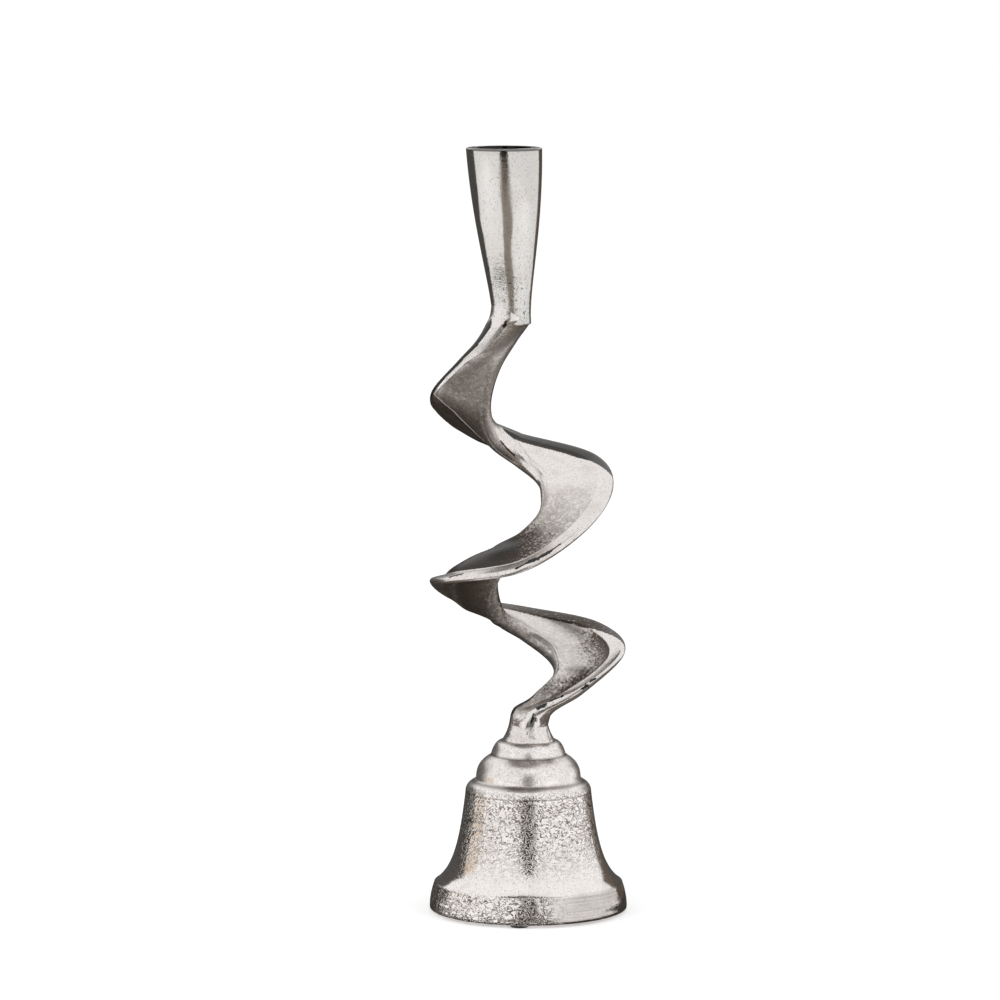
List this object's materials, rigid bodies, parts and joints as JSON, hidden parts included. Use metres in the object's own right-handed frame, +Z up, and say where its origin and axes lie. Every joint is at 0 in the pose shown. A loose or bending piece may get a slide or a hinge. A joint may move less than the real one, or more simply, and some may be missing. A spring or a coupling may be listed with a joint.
{
  "type": "candlestick",
  "caption": "Cast metal candlestick with a flared bell base, a scooped ribbon stem coiled like a corkscrew, and a tapered cup that holds a dinner candle.",
  "frame": {"origin": "centre of the base, on the surface that the felt pads stand on", "axes": "+Z up the stem, +X to the right and +Y away from the viewer in the pictured view"},
  "size_m": [0.0788, 0.0788, 0.3052],
  "materials": {
    "grained_casting": "polished over a coarse sand-cast grain",
    "polished_casting": "hand polished, with small casting pits",
    "zinc_plate": "zinc plated steel",
    "dark_felt": "pressed felt"
  },
  "bodies": {
    "root": {"felt_pad_1": "dark_felt", "felt_pad_2": "dark_felt", "felt_pad_3": "dark_felt", "felt_pad_4": "dark_felt", "bell_base": "grained_casting", "fixing_screw": "zinc_plate", "lock_washer": "zinc_plate", "flat_washer": "zinc_plate", "twisted_stem": "polished_casting", "candle_cup": "polished_casting"}
  },
  "joints": []
}
